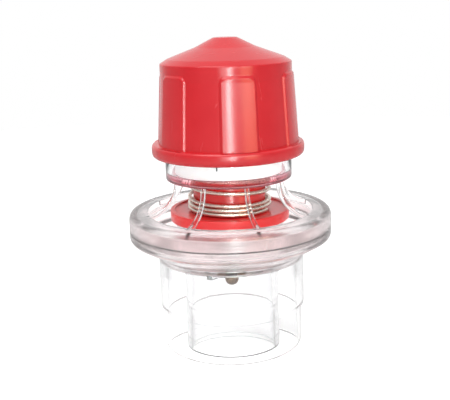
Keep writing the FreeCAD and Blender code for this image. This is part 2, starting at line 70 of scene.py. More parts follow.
def roundedPath(corners, closed=True, steps=6):
    # each corner (r, z, radius) becomes a curve that leaves both its edges level; radius 0 keeps it sharp
    pts = np.array([c[:2] for c in corners], float)
    out = []
    for i, (r, z, radius) in enumerate(corners):
        here = pts[i]
        if radius <= 0 or (not closed and i in (0, len(pts) - 1)):
            out.append(here[None])
            continue
        a, b = pts[i - 1] - here, pts[(i + 1) % len(pts)] - here
        la, lb = np.linalg.norm(a), np.linalg.norm(b)
        a, b = a / la, b / lb
        half = math.acos(np.clip(a @ b, -1, 1)) / 2
        longest = cornerShape["share"] * min(la, lb)
        cut = min(radius / math.tan(half), longest)  # tangent length, kept inside both edges
        t = np.linspace(0, 1, steps + 1)[:, None]
        start, end = here + a * cut, here + b * cut
        middle = here + (start + end - 2 * here) * cornerShape["fullness"]
        out.append((1 - t) ** 2 * start + 2 * t * (1 - t) * middle + t**2 * end)
    return np.vstack(out)


def gridFaces(rows, cols, closeRows, closeCols):
    # quads of a rows x cols grid of vertices, wrapped round in either direction
    i = np.arange(rows if closeRows else rows - 1)[:, None]
    j = np.arange(cols if closeCols else cols - 1)[None]
    i2, j2 = (i + 1) % rows, (j + 1) % cols
    return np.stack([i * cols + j, i * cols + j2, i2 * cols + j2, i2 * cols + j], -1).reshape(-1, 4)


def makeMesh(name, verts, faces, sharp=32):
    # verts in mm; doubled points are merged, normals turned outwards, then shaded smooth but for sharp edges
    mesh = bpy.data.meshes.new(name)
    mesh.from_pydata((np.asarray(verts).reshape(-1, 3) * mm).tolist(), [], faces.tolist())
    obj = bpy.data.objects.new(name, mesh)
    bpy.context.scene.collection.objects.link(obj)
    cleanMesh(obj, sharp)
    return obj


def cleanMesh(obj, sharp=32, merge=2e-7):  # points closer than merge, in metres, become one
    bm = bmesh.new()
    bm.from_mesh(obj.data)
    bmesh.ops.remove_doubles(bm, verts=bm.verts, dist=merge)
    bmesh.ops.dissolve_degenerate(bm, edges=bm.edges, dist=merge)
    bmesh.ops.recalc_face_normals(bm, faces=bm.faces)
    bm.to_mesh(obj.data)
    bm.free()
    obj.data.shade_smooth()
    obj.data.set_sharp_from_angle(angle=math.radians(sharp))


def spun(name, path, angles=192, closed=True, sharp=32, push=None):
    # surface of revolution: x = r cos a, y = r sin a, z = z; push(r, z, a) may move r
    a = np.radians(angles) if np.ndim(angles) else np.linspace(0, 2 * math.pi, angles, endpoint=False)
    r, z = path[:, 0][:, None] + 0 * a, path[:, 1][:, None] + 0 * a
    if push is not None:
        r = push(r, z, a[None] + 0 * r)
    verts = np.stack([r * np.cos(a), r * np.sin(a), z], -1)
    return makeMesh(name, verts, gridFaces(len(path), len(a), closed, True), sharp)


def capped(rings):  # rows of points with both ends drawn to their middles, so that the shape is closed
    ends = rings[[0, -1]].mean(1, keepdims=True).repeat(rings.shape[1], 1)
    return np.concatenate([ends[:1], rings, ends[1:]])


def ramp(x, low, high):  # smooth step from 0 at low to 1 at high
    t = np.clip((x - low) / (high - low), 0, 1)
    return t * t * (3 - 2 * t)


def union(base, tools, sharp=32):  # joins solids into one clean shell
    for tool in tools:
        mod = base.modifiers.new("join", "BOOLEAN")
        mod.operation, mod.solver, mod.object = "UNION", "EXACT", tool
        done = bpy.data.meshes.new_from_object(base.evaluated_get(bpy.context.evaluated_depsgraph_get()))
        base.modifiers.clear()
        base.data = done
        bpy.data.objects.remove(tool)
    cleanMesh(base, sharp, merge=1e-6)
    return base


def tube(name, centres, sides, radius, sharp=40):
    # round tube: a circle of the radius carried along the centres, in the plane of the normals
    c = np.asarray(centres, float)
    t = np.gradient(c, axis=0)
    t /= np.linalg.norm(t, axis=1)[:, None]
    out = c * [1, 1, 0]
    out /= np.linalg.norm(out, axis=1)[:, None]
    out -= t * (out * t).sum(1)[:, None]
    out /= np.linalg.norm(out, axis=1)[:, None]
    up = np.cross(t, out)
    k = np.linspace(0, 2 * math.pi, sides, endpoint=False)
    ring = radius * (np.cos(k)[None, :, None] * out[:, None] + np.sin(k)[None, :, None] * up[:, None])
    verts = c[:, None] + ring
    ends = np.concatenate([np.repeat(c[:1], sides, 0)[None], verts, np.repeat(c[-1:], sides, 0)[None]])
    return makeMesh(name, ends, gridFaces(len(ends), sides, False, True), sharp)


# Shared effects as node groups


def nodeGroup(name, inputs, outputs):  # an empty group with its sockets, and the nodes at its two ends
    group = bpy.data.node_groups.new(name, "ShaderNodeTree")
    for label, kind, value in inputs:
        socket = group.interface.new_socket(label, in_out="INPUT", socket_type=kind)
        socket.default_value = value
    for label, kind in outputs:
        group.interface.new_socket(label, in_out="OUTPUT", socket_type=kind)
    return group, group.nodes.new("NodeGroupInput"), group.nodes.new("NodeGroupOutput")


def add(tree, kind, links=None, **settings):
    # one node; settings are its properties, links map its sockets to values or to other sockets
    node = tree.nodes.new(kind)
    for key, value in settings.items():
        setattr(node, key, value)
    for key, value in (links or {}).items():
        if isinstance(value, bpy.types.NodeSocket):
            tree.links.new(value, node.inputs[key])
        else:
            node.inputs[key].default_value = value
    return node


def objectPoint(tree):  # the point in the object's own metres
    return add(tree, "ShaderNodeTexCoord").outputs["Object"]


skinLook = {"flow": 70.0, "cloud": 45.0, "turns": (0.5, 2.1), "tilt": 0.2, "stretch": 22,
            "cut": (0.66, 0.74), "groove": -0.35}


def mouldedSkin(s):
    # moulded plastic: faint orange peel, slow flow waves, and hairline scratches in two directions
    group, gi, go = nodeGroup(
        "mouldedSkin",
        [("Peel Scale", "NodeSocketFloat", 900.0), ("Scratch Scale", "NodeSocketFloat", 120.0)],
        [("Height", "NodeSocketFloat"), ("Scratches", "NodeSocketFloat"), ("Cloud", "NodeSocketFloat")],
    )
    p = objectPoint(group)
    peel = add(group, "ShaderNodeTexNoise", {"Vector": p, "Scale": gi.outputs["Peel Scale"], "Detail": 2.0})
    flow = add(group, "ShaderNodeTexNoise", {"Vector": p, "Scale": s["flow"], "Detail": 1.0})
    cloud = add(group, "ShaderNodeTexNoise", {"Vector": p, "Scale": s["cloud"], "Detail": 3.0})
    masks = []
    for turn in s["turns"]:
        mapped = add(group, "ShaderNodeMapping", {
            "Vector": p, "Rotation": (s["tilt"], turn, turn), "Scale": (1, s["stretch"], 1)})
        lines = add(group, "ShaderNodeTexNoise", {
            "Vector": mapped.outputs[0], "Scale": gi.outputs["Scratch Scale"],
            "Detail": 4.0, "Roughness": 0.7})
        masks.append(span(group, lines.outputs["Fac"], 0, 1, *s["cut"]))
    both = add(group, "ShaderNodeMath", {0: masks[0], 1: masks[1]}, operation="MAXIMUM")
    high = add(group, "ShaderNodeMath", {0: peel.outputs["Fac"], 1: flow.outputs["Fac"]}, operation="ADD")
    less = add(group, "ShaderNodeMath", {0: both.outputs[0], 1: s["groove"], 2: high.outputs[0]},
               operation="MULTIPLY_ADD")
    group.links.new(less.outputs[0], go.inputs["Height"])
    group.links.new(both.outputs[0], go.inputs["Scratches"])
    group.links.new(cloud.outputs["Fac"], go.inputs["Cloud"])
    return group


def place(tree, group, values):  # one use of a group, with its inputs set by name
    node = tree.nodes.new("ShaderNodeGroup")
    node.node_tree = group
    for key, value in values.items():
        node.inputs[key].default_value = value
    return node


def material(name, **sockets):  # a new material, its nodes, and its shader with the named inputs set
    mat = bpy.data.materials.new(name)
    mat.use_nodes = True
    shader = mat.node_tree.nodes["Principled BSDF"]
    for key, value in sockets.items():
        shader.inputs[key.replace("_", " ")].default_value = value
    return mat, mat.node_tree, shader


def span(tree, value, low, high, fromMin=0.35, fromMax=0.65):
    # straight line from low at fromMin to high at fromMax, held level outside them
    return add(tree, "ShaderNodeMapRange", {
        "Value": value, "From Min": fromMin, "From Max": fromMax, "To Min": low, "To Max": high}).outputs[0]


def blendColour(tree, factor, a, b):  # colour a at factor 0, colour b at 1, in proportion between
    node = add(tree, "ShaderNodeMix", data_type="RGBA")
    tree.links.new(factor, node.inputs[0])
    node.inputs[6].default_value, node.inputs[7].default_value = (*a, 1), (*b, 1)
    return node.outputs[2]


def bump(tree, height, strength, distance):  # normal tilted by the slope of the height times the distance
    node = add(tree, "ShaderNodeBump", {"Height": height, "Strength": strength, "Distance": distance})
    return node.outputs[0]


skin = mouldedSkin(skinLook)

redLook = {"deep": (0.56, 0.011, 0.018), "light": (0.61, 0.018, 0.025), "rough": (0.19, 0.26), "wear": 0.18,
           "peel": (0.12, 0.00006), "depth": 0.06, "soak": (0.0012, 0.0003, 0.0002),
           "skin": {"Peel Scale": 1100.0, "Scratch Scale": 90.0}}


def redPlastic(name, look):  # glossy moulded red: slow colour drift, soft peel, worn hairlines
    mat, tree, shader = material(
        name, IOR=1.5, Subsurface_Weight=look["depth"], Subsurface_Radius=look["soak"])
    effect = place(tree, skin, look["skin"])
    colour = blendColour(tree, span(tree, effect.outputs["Cloud"], 0, 1), look["deep"], look["light"])
    tree.links.new(colour, shader.inputs["Base Color"])
    rough = span(tree, effect.outputs["Cloud"], *look["rough"])
    worn = add(tree, "ShaderNodeMath", {0: effect.outputs["Scratches"], 1: look["wear"], 2: rough},
               operation="MULTIPLY_ADD")
    tree.links.new(worn.outputs[0], shader.inputs["Roughness"])
    tree.links.new(bump(tree, effect.outputs["Height"], *look["peel"]), shader.inputs["Normal"])
    return mat


clearLook = {
    "tint": (0.985, 0.985, 0.987), "haze": (0.965, 0.962, 0.965), "rough": (0.012, 0.03), "wear": 0.05,
    "peel": (0.06, 0.00005), "skin": {"Peel Scale": 500.0, "Scratch Scale": 70.0},
    # painted shade: the clear plastic greys where it is seen edge on
    "rimShade": (0.70, 0.70, 0.72), "rimPower": 3.0,
    # painted reflection: the hazy flange is tinted pink by the red parts, darker towards the cone as painted
    # shade
    "frostRedReflection": (1.0, 0.912, 0.915), "frostRough": 0.22,
    "frostLow": 23.4, "frostHigh": 32.2, "frostSoft": 1.2,
    "coneShadedReflection": (0.965, 0.875, 0.882), "coneLow": 26.0, "coneHigh": 29.0,
    # painted reflection: a red band on the clear ring under the collar; below it a painted shade line at its
    # lower edge
    "collarRedReflection": (0.90, 0.30, 0.34), "collarRedReflectionLow": 41.0, "collarRedReflectionHigh": 42.2, "collarRedReflectionSoft": 0.25,
    "edge": (0.45, 0.07, 0.10), "edgeLow": 40.9, "edgeHigh": 41.35, "edgeSoft": 0.1,
}


def band(tree, height, low, high, soft):  # 1 between two heights, falling softly to 0 outside them
    rise = span(tree, height, 0, 1, (low - soft) * mm, low * mm)
    fall = span(tree, height, 1, 0, high * mm, (high + soft) * mm)
    return add(tree, "ShaderNodeMath", {0: rise, 1: fall}, operation="MULTIPLY").outputs[0]


def layer(tree, factor, under, over):  # one colour over another, by a mask
    return add(tree, "ShaderNodeMix", {0: factor, 6: under, 7: over}, data_type="RGBA").outputs[2]


def clearPlastic(name, look, frostRough):
    # clear polycarbonate with flow lines and fine handling marks, and painted shade greying it where it is
    # seen edge on; the flange is hazy, with a painted pink reflection of the red parts that darkens lower
    # down as painted shade, and the ring under the collar has a painted red reflection, with a painted shade
    # line darkest at its lower edge
    mat, tree, shader = material(name, Transmission_Weight=1.0, IOR=1.46)
    effect = place(tree, skin, look["skin"])
    height = add(tree, "ShaderNodeSeparateXYZ", {0: objectPoint(tree)}).outputs[2]
    frost = band(tree, height, look["frostLow"], look["frostHigh"], look["frostSoft"])
    collarRedReflection = band(tree, height, look["collarRedReflectionLow"], look["collarRedReflectionHigh"], look["collarRedReflectionSoft"])
    edge = band(tree, height, look["edgeLow"], look["edgeHigh"], look["edgeSoft"])
    plain = blendColour(tree, span(tree, effect.outputs["Cloud"], 0, 1), look["tint"], look["haze"])
    # painted shade: grey laid over the plastic where it is seen edge on
    facing = add(tree, "ShaderNodeLayerWeight", {"Blend": 0.5}).outputs["Facing"]
    rim = add(tree, "ShaderNodeMath", {0: facing, 1: look["rimPower"]}, operation="POWER").outputs[0]
    plain = layer(tree, rim, plain, (*look["rimShade"], 1))
    # painted reflection of the red parts on the hazy flange, darker and pinker lower down as painted shade
    upwards = span(tree, height, 0, 1, look["coneLow"] * mm, look["coneHigh"] * mm)
    colour = layer(tree, frost, plain, blendColour(tree, upwards, look["coneShadedReflection"], look["frostRedReflection"]))
    # painted red reflection on the ring under the collar, then a painted dark shade line at its lower edge
    colour = layer(tree, collarRedReflection, colour, (*look["collarRedReflection"], 1))
    colour = layer(tree, edge, colour, (*look["edge"], 1))
    tree.links.new(colour, shader.inputs["Base Color"])
    smooth = span(tree, effect.outputs["Cloud"], *look["rough"])
    worn = add(tree, "ShaderNodeMath", {0: effect.outputs["Scratches"], 1: look["wear"], 2: smooth},
               operation="MULTIPLY_ADD")
    rough = add(tree, "ShaderNodeMath", {0: frost, 1: frostRough, 2: worn.outputs[0]},
                operation="MULTIPLY_ADD")
    tree.links.new(rough.outputs[0], shader.inputs["Roughness"])
    tree.links.new(bump(tree, effect.outputs["Height"], *look["peel"]), shader.inputs["Normal"])
    # lamps shine through, so the clear walls throw no dark shadow
    path = add(tree, "ShaderNodeLightPath")
    through = add(tree, "ShaderNodeBsdfTransparent")
    both = add(tree, "ShaderNodeMixShader", {
        0: path.outputs["Is Shadow Ray"], 1: shader.outputs[0], 2: through.outputs[0]})
    tree.links.new(both.outputs[0], tree.nodes["Material Output"].inputs["Surface"])
    return mat


steelLook = {"lines": 2600.0, "cloud": 260.0, "rough": (0.22, 0.40), "drawn": (0.10, 0.00003)}


def steel(name, colour, warm, look):  # drawn stainless wire: fine drawing marks, faint straw tint in patches
    mat, tree, shader = material(name, Metallic=1.0)
    p = objectPoint(tree)
    lines = add(tree, "ShaderNodeTexNoise", {"Vector": p, "Scale": look["lines"], "Detail": 3.0})
    cloud = add(tree, "ShaderNodeTexNoise", {"Vector": p, "Scale": look["cloud"], "Detail": 2.0})
    tint = blendColour(tree, span(tree, cloud.outputs["Fac"], 0, 1), colour, warm)
    tree.links.new(tint, shader.inputs["Base Color"])
    tree.links.new(span(tree, lines.outputs["Fac"], *look["rough"]), shader.inputs["Roughness"])
    tree.links.new(bump(tree, lines.outputs["Fac"], *look["drawn"]), shader.inputs["Normal"])
    return mat


acetalLook = {"depth": 0.2, "soak": (0.0012, 0.001, 0.0008), "dirt": 0.93, "rough": (0.34, 0.48),
              "peel": (0.2, 0.00008), "skin": {"Peel Scale": 1500.0, "Scratch Scale": 160.0}}


def acetal(name, colour, look, glow=0.0):
    # waxy white plastic; the glow is painted light, making the part glow though it is no lamp, used to lift
    # the neck to white in the shade under the cap's rim
    mat, tree, shader = material(
        name, IOR=1.48, Subsurface_Weight=look["depth"], Subsurface_Radius=look["soak"],
        Emission_Color=(1, 1, 1, 1), Emission_Strength=glow)
    effect = place(tree, skin, look["skin"])
    low = tuple(look["dirt"] * c for c in colour)
    tint = blendColour(tree, span(tree, effect.outputs["Cloud"], 0, 1), low, colour)
    tree.links.new(tint, shader.inputs["Base Color"])
    tree.links.new(span(tree, effect.outputs["Cloud"], *look["rough"]), shader.inputs["Roughness"])
    tree.links.new(bump(tree, effect.outputs["Height"], *look["peel"]), shader.inputs["Normal"])
    return mat


siliconeLook = {"low": (0.70, 0.70, 0.68), "high": (0.80, 0.80, 0.79), "rough": (0.45, 0.7), "depth": 0.5,
                "soak": (0.003, 0.0028, 0.0026), "peel": (0.3, 0.0001),
                "skin": {"Peel Scale": 1800.0, "Scratch Scale": 200.0}}


def silicone(name, look):  # milky soft rubber, faintly dusty
    mat, tree, shader = material(
        name, IOR=1.41, Subsurface_Weight=look["depth"], Subsurface_Radius=look["soak"])
    effect = place(tree, skin, look["skin"])
    colour = blendColour(tree, span(tree, effect.outputs["Cloud"], 0, 1), look["low"], look["high"])
    tree.links.new(colour, shader.inputs["Base Color"])
    tree.links.new(span(tree, effect.outputs["Scratches"], *look["rough"], 0, 1), shader.inputs["Roughness"])
    tree.links.new(bump(tree, effect.outputs["Height"], *look["peel"]), shader.inputs["Normal"])
    return mat


inkLook = {"low": (0.05, 0.055, 0.06), "high": (0.12, 0.13, 0.14), "speck": 3000.0}


def ink(name, look):  # grey index mark on the clear collar
    mat, tree, shader = material(name, Roughness=0.5)
    p = objectPoint(tree)
    speck = add(tree, "ShaderNodeTexNoise", {"Vector": p, "Scale": look["speck"]})
    tint = blendColour(tree, span(tree, speck.outputs["Fac"], 0, 1), look["low"], look["high"])
    tree.links.new(tint, shader.inputs["Base Color"])
    return mat


redCap = redPlastic("redCap", redLook)
# painted light: the plate's red is set brighter than the cap's, to lift it in the shade inside the cage
redPlate = redPlastic("redPlate", {**redLook, "deep": (0.70, 0.022, 0.024), "light": (0.80, 0.040, 0.036)})
clearShell = clearPlastic("clearShell", clearLook, clearLook["frostRough"])
clearInner = clearPlastic("clearInner", clearLook, 0.0)
springSteel = steel("springSteel", (0.72, 0.66, 0.58), (0.88, 0.81, 0.72), steelLook)
stemSteel = steel("stemSteel", (0.070, 0.036, 0.020), (0.20, 0.12, 0.060), steelLook)
whiteAcetal = acetal("whiteAcetal", (0.82, 0.82, 0.79), acetalLook)
milkySilicone = silicone("milkySilicone", siliconeLook)
# painted light: the neck and its threads glow to stay white in the shade under the cap's rim
milkyNeck = acetal("milkyNeck", (0.93, 0.93, 0.93), acetalLook, 0.35)
greyInk = ink("greyInk", inkLook)
print("materials ready")


def dress(obj, mat, body, slot, *nodes):  # finish and body of one piece, and the CAD nodes it stands for, which are hidden; slot is not used
    obj.data.materials.clear()
    obj.data.materials.append(mat)
    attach(obj, body)
    if nodes:
        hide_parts(*nodes)
    return obj


# Clear lower housing

lowerSizes = {
    "holeR": 11.35, "socketMouth": 15.25, "socketEnd": 14.98, "socketDepth": 21.5, "skirtR": 16.8,
    "shankR": 17.5, "stepZ": 9.8, "coneFoot": 23.0, "coneRise": 4.0, "floor": 26.6, "chamberR": 19.6,
    "spigotR": 22.0, "spigotTop": 31.4,
}


def lowerHousing(s):  # outline of the skirt, the cone and half the flange, turned about the axis
    flangeR, split = reach("lower_housing"), level("upper_housing")
    coneTop = s["coneFoot"] + s["coneRise"]
    shell = spun("lowerShell", roundedPath([
        (s["holeR"], s["socketDepth"], 0.1), (s["socketEnd"], s["socketDepth"], 0.5),
        (s["socketMouth"], 0, 0.35), (s["skirtR"], 0, 0.5),
        (s["skirtR"], s["stepZ"], 0.15), (s["shankR"], s["stepZ"], 0.45),
        (s["shankR"], s["coneFoot"], 0.6), (flangeR, coneTop, 0.9),
        (flangeR, split, 0.12), (s["spigotR"], split, 0.1), (s["spigotR"], s["spigotTop"], 0.15),
        (s["chamberR"], s["spigotTop"], 0.15), (s["chamberR"], s["floor"], 0.6),
        (s["holeR"], s["floor"], 0.1),
    ]), 256)
    return dress(shell, clearShell, "housing", "clear_shell", "lower_housing")


# Clear inner tube with the valve seat and the spider

tubeSizes = {
    "bore": 9.5, "outerR": 11.0, "heldR": 11.3, "leadZ": 21.0, "heldZ": 21.5, "landR": 12.2, "landThick": 0.8,
    "floor": 26.6, "lip": 0.6, "hubBore": 2.6, "hubR": 3.7, "hubZ": 19.0, "hubHeight": 4.0,
    "arms": 3, "armWidth": 1.2, "armHeight": 2.8, "armRoot": 0.6, "armDrop": 0.3,
}


def spiderArm(s, index):  # a thin wedge from the hub's wall into the tube's wall, turned to its place
    inner, outer, half = (s["hubBore"] + s["hubR"]) / 2, s["bore"] + s["armRoot"], s["armWidth"] / 2
    side = np.array([(inner, s["hubZ"]), (outer, s["hubZ"]), (outer, s["hubZ"] + s["armHeight"]),
                     (inner, s["hubZ"] + s["hubHeight"] - s["armDrop"])])
    x, z = side[:, 0], side[:, 1]
    pair = np.stack([np.stack([x, 0 * x + y, z], -1) for y in (-half, half)])
    a = 2 * math.pi * index / s["arms"]
    turn = np.array([[math.cos(a), -math.sin(a), 0], [math.sin(a), math.cos(a), 0], [0, 0, 1]])
    pair = pair @ turn.T
    return makeMesh(f"arm{index}", capped(pair), gridFaces(4, len(x), False, True))


def seatTube(s):  # outline of the tube with its land and its narrow seat lip, joined to the hub and the arms
    seat = level("valve_seal")
    mid, half = (s["bore"] + s["outerR"]) / 2, s["lip"] / 2
    lipZ = seat - (s["outerR"] - s["bore"] - s["lip"])
    landTop = s["floor"] + s["landThick"]
    shell = spun("seatTube", roundedPath([
        (s["bore"], 0, 0.35), (s["outerR"], 0, 0.35), (s["outerR"], s["leadZ"], 0.1),
        (s["heldR"], s["heldZ"], 0.1), (s["heldR"], s["floor"], 0), (s["landR"], s["floor"], 0.1),
        (s["landR"], landTop, 0.25), (s["outerR"], landTop, 0.2), (s["outerR"], lipZ, 0.1),
        (mid + half, seat, 0.1), (mid - half, seat, 0.1), (s["bore"], lipZ, 0.1),
    ]), 256)
    hubTop = s["hubZ"] + s["hubHeight"]
    hub = spun("hub", roundedPath([
        (s["hubBore"], s["hubZ"], 0.15), (s["hubR"], s["hubZ"], 0.3), (s["hubR"], hubTop, 0.15),
        (s["hubBore"], hubTop, 0.1),
    ]), 96)
    union(shell, [hub] + [spiderArm(s, i) for i in range(s["arms"])])
    return dress(shell, clearInner, "housing", "clear_shell", "seat_tube")


# Clear upper housing with its cage

upperSizes = {
    "joint": 22.05, "roof": 31.45, "flangeTop": 33.3, "edge": 1.5, "chamberR": 19.6,
    "ribs": 8, "ribTurn": 17.8, "ribWidth": 0.9, "ribDepth": 1.2, "ribCorner": 0.2, "ribFoot": 1.4,
    "ribSteps": 25, "ribRise": 0.5, "ribRiseAngle": 0.4, "cageTop": 41.0,
    "collarR": 14.9, "collarIn": 13.7, "collarFloor": 42.6, "collarTop": 48.2,
    "neckBore": 11.2, "neckR": 12.8, "neckGap": 0.02,
}


def cageRib(s, index):
    # a rib's section, a rounded rectangle, is carried down a quarter circle about a centre outside the cage
    a = math.radians(s["ribTurn"] + 360 / s["ribs"] * index)
    radius = s["cageTop"] - s["flangeTop"]
    centre = s["chamberR"] + s["ribFoot"]
    t = np.linspace(0, math.pi / 2, s["ribSteps"])
    deep, half, corner = s["ribDepth"], s["ribWidth"] / 2, s["ribCorner"]
    sec = roundedPath([
        (0, -half, corner), (deep, -half, corner), (deep, half, corner), (0, half, corner)], steps=3)
    lift = s["ribRise"] * ramp(t, s["ribRiseAngle"], 0)  # the upper end runs on into the collar's floor
    rad = radius + sec[:, 0][None]
    x = centre - rad * np.cos(t)[:, None]
    z = s["cageTop"] + lift[:, None] - rad * np.sin(t)[:, None]
    y = 0 * x + sec[:, 1][None]
    v = np.stack([x * math.cos(a) - y * math.sin(a), x * math.sin(a) + y * math.cos(a), z], -1)
    v = capped(v)
    return makeMesh(f"rib{index}", v, gridFaces(len(v), v.shape[1], False, True))


def upperHousing(s):  # flange and collar turned about the axis and joined by the ribs, then the milky neck
    split, flangeR, neckTop = level("upper_housing"), reach("lower_housing"), level("upper_housing", True)
    shell = spun("cageShell", roundedPath([
        (s["joint"], split, 0.08), (flangeR, split, 0.12), (flangeR, s["flangeTop"], s["edge"]),
        (s["chamberR"], s["flangeTop"], 0.25), (s["chamberR"], s["roof"], 0.15), (s["joint"], s["roof"], 0.1),
    ], steps=8), 256)
    collar = spun("collar", roundedPath([
        (s["neckBore"], s["cageTop"], 0.3), (s["collarR"], s["cageTop"], 0.35),
        (s["collarR"], s["collarTop"], 0.3), (s["collarIn"], s["collarTop"], 0.2),
        (s["collarIn"], s["collarFloor"], 0.3), (s["neckBore"], s["collarFloor"], 0.1),
    ]), 256)
    union(shell, [cageRib(s, i) for i in range(s["ribs"])] + [collar])
    dress(shell, clearShell, "housing", "clear_shell", "upper_housing")
    foot = s["collarFloor"] + s["neckGap"]
    neck = spun("neckSleeve", roundedPath([
        (s["neckBore"], foot, 0.1), (s["neckR"], foot, 0.1),
        (s["neckR"], neckTop, 0.35), (s["neckBore"], neckTop, 0.2),
    ]), 256)
    dress(neck, milkyNeck, "housing", "clear_shell", "upper_housing")


threadSizes = {
    "lead": 6.0, "starts": 2, "rootWidth": 1.5, "crestWidth": 0.6, "endWidth": 0.15,
    "runOut": 0.08, "steps": 96,
    # each ridge: radius at its root and at its crest, lowest and highest z
    "neck": (12.75, 13.38, 50.4, 58.2), "cap": (13.56, 12.98, 54.6, 59.4),
}


def thread(name, s, root, crest, low, high, phase):
    # trapezoid ridge on a right-hand helix: z rises by the lead in a turn, and the ridge grows from its ends
    turns = (high - low) / s["lead"]
    t = np.linspace(0, 1, int(s["steps"] * turns))
    a = 2 * math.pi * turns * t + phase
    grow = ramp(t, 0, s["runOut"]) * ramp(1 - t, 0, s["runOut"])
    z = low + (high - low) * t
    top = root + (crest - root) * grow
    broad, narrow = s["rootWidth"] / 2, s["crestWidth"] / 2
    sec = [(root + 0 * a, -broad), (top, -narrow), (top, narrow), (root + 0 * a, broad)]
    wide = s["endWidth"] + (1 - s["endWidth"]) * grow
    v = np.stack([np.stack([r * np.cos(a), r * np.sin(a), z + w * wide], -1) for r, w in sec], 1)
    v = capped(v)
    return makeMesh(name, v, gridFaces(len(v), 4, False, True), 30)


def threads(s):  # the starts are spread evenly round the neck, and the cap's ridges run midway between them
    midway = s["lead"] / s["starts"] / 2
    offset = 2 * math.pi * (s["cap"][2] - s["neck"][2] - midway) / s["lead"]
    for k in range(s["starts"]):
        turn = 2 * math.pi * k / s["starts"]
        dress(thread(f"neckThread{k}", s, *s["neck"], turn), milkyNeck, "housing", "clear_shell")
        dress(thread(f"capThread{k}", s, *s["cap"], turn + offset), redCap, "cap", "cap_red")


tickSizes = {"azimuth": -100.1, "width": 0.34, "low": 45.2, "high": 47.6, "proud": 0.04, "sunk": 0.02}


def indexTick(s, radius):  # a thin curved bar on the collar, beside which the cap's rim is read
    a = np.radians(s["azimuth"]) + np.array([-.5, -.25, 0, .25, .5]) * s["width"] / radius
    near, far = radius - s["sunk"], radius + s["proud"]
    path = np.array([(near, s["low"]), (far, s["low"]), (far, s["high"]), (near, s["high"])])
    r, z = path[:, 0][:, None] + 0 * a, path[:, 1][:, None] + 0 * a
    v = np.stack([r * np.cos(a), r * np.sin(a), z], -1).transpose(1, 0, 2)
    v = capped(v)
    return makeMesh("indexTick", v, gridFaces(len(v), 4, False, True))


# Red adjusting cap

capSizes = {
    "boreR": 15.0, "boreDepth": 7.7, "threadR": 13.5, "ceiling": 19.5, "rimHeight": 3.1, "footR": 16.2,
    "shoulderR": 15.2, "lip": 21.4, "lipWall": 0.6, "draftEnd": 3.5, "crownFlat": 2.7,
    "dipLow": (13.5, 1.05), "dipHigh": (7.0, 2.15),  # radius and height above the lip, or below the crown
    "bossR": 4.1, "holeR": 2.4, "pad": 14.3, "hole": 17.2,
    "grips": 6, "gripAngle": 31.5, "gripProud": 0.42, "gripFlat": 0.10, "gripLevel": 0.4, "gripTurn": 39.4,
    "gripTop": 19.4, "gripEdge": 0.65, "gripCorner": 1.7,
    # rows of points: at a grip's edge, on its face and in the gap, each with a count; then up the wall
    "edgeRows": (-2.6, 0.8, 11), "faceRows": (2.8, 13), "gapRows": (1.4, 9),
    "wallRows": (15, 46), "wallMid": 16.4,
}


def capAngles(s):  # angles that crowd together at the edges of the grips
    half, pitch = s["gripAngle"] / 2, 360 / s["grips"]
    (inset, faceCount), (clear, gapCount) = s["faceRows"], s["gapRows"]
    edge = np.linspace(*s["edgeRows"])
    face = np.linspace(-half + inset, half - inset, faceCount)
    gap = np.linspace(half + clear, pitch - half - clear, gapCount)
    one = np.concatenate([-half - edge, face, half + edge, gap])
    return np.sort(np.concatenate([one + s["gripTurn"] + pitch * k for k in range(s["grips"])]))


